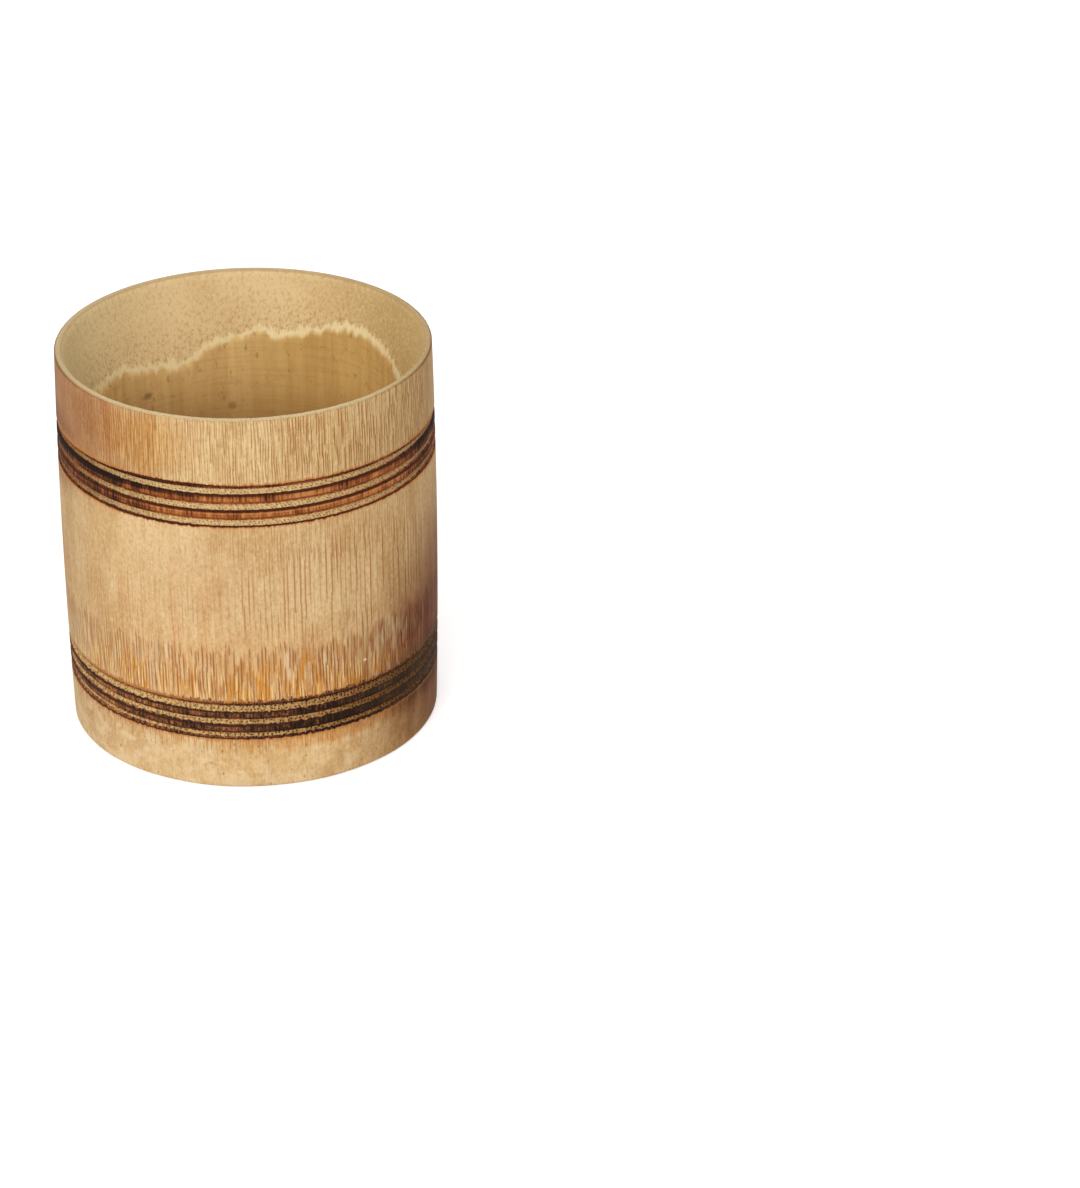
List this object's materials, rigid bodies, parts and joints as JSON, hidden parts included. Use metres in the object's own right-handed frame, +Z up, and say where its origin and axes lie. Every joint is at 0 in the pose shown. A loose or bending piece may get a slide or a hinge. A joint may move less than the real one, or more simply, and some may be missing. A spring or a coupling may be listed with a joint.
{
  "type": "bamboo cup",
  "caption": "Straight-sided handleless drinking cup turned from a length of bamboo culm, with burnt grooved bands, a flared thin lip and a natural node as its floor.",
  "frame": {"origin": "centre of the ring on the foot that the cup stands on", "axes": "+Z up along the cup's axis, from the foot to the lip; the section is round, so X and Y are free"},
  "size_m": [0.0772, 0.0772, 0.082],
  "materials": {
    "culm": "turned and sanded bamboo, satin, with scorched dark brown bands",
    "lining": "smooth natural inner skin of the culm, satin",
    "diaphragm": "natural bamboo node, matte",
    "foot_skin": "natural inner skin of the culm, matte"
  },
  "bodies": {
    "root": {"culm_wall": "culm", "cavity_lining": "lining", "node_diaphragm": "diaphragm", "foot_lining": "foot_skin"}
  },
  "joints": []
}
